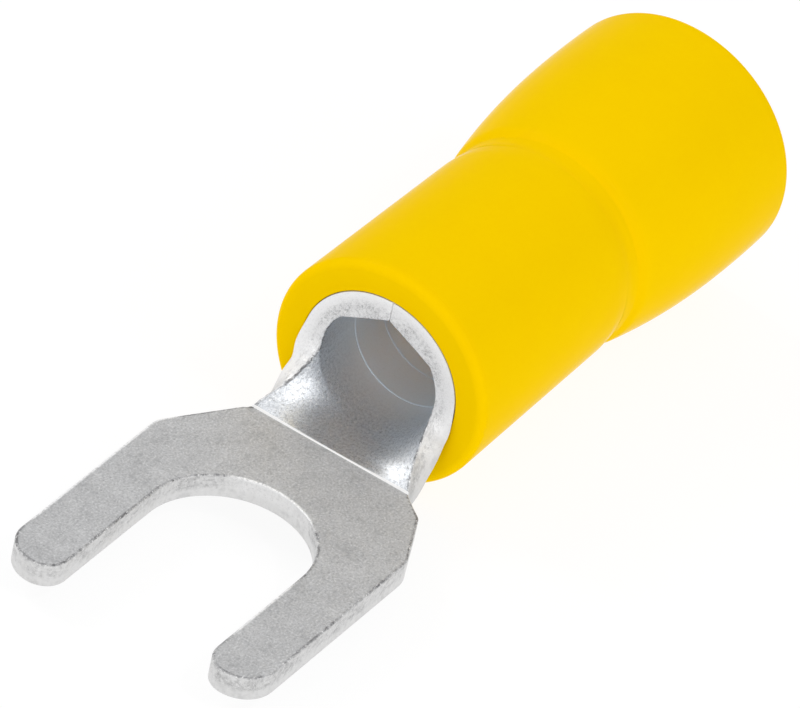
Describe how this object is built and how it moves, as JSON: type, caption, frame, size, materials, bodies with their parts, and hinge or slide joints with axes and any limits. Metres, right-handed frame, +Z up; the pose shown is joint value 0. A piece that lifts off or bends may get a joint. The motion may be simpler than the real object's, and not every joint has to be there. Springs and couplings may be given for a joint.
{
  "type": "fork terminal",
  "caption": "Insulated fork terminal: flat slotted tongue for a screw, rolled crimp barrel and a flared plastic sleeve.",
  "frame": {"origin": "on the underside of the flat tongue, on its centre line, half-way along the solid part between the slot and the fold", "axes": "+X from the wire end towards the fork's tips, +Y across the tongue, +Z up, square to the tongue"},
  "size_m": [0.0291, 0.0092, 0.0083],
  "materials": {
    "tin_plate": "tin-plated copper, matt pressed surface with bright cut edges",
    "yellow_vinyl": "moulded PVC, semi-matt"
  },
  "bodies": {
    "root": {"terminal": "tin_plate", "sleeve": "yellow_vinyl"}
  },
  "joints": []
}
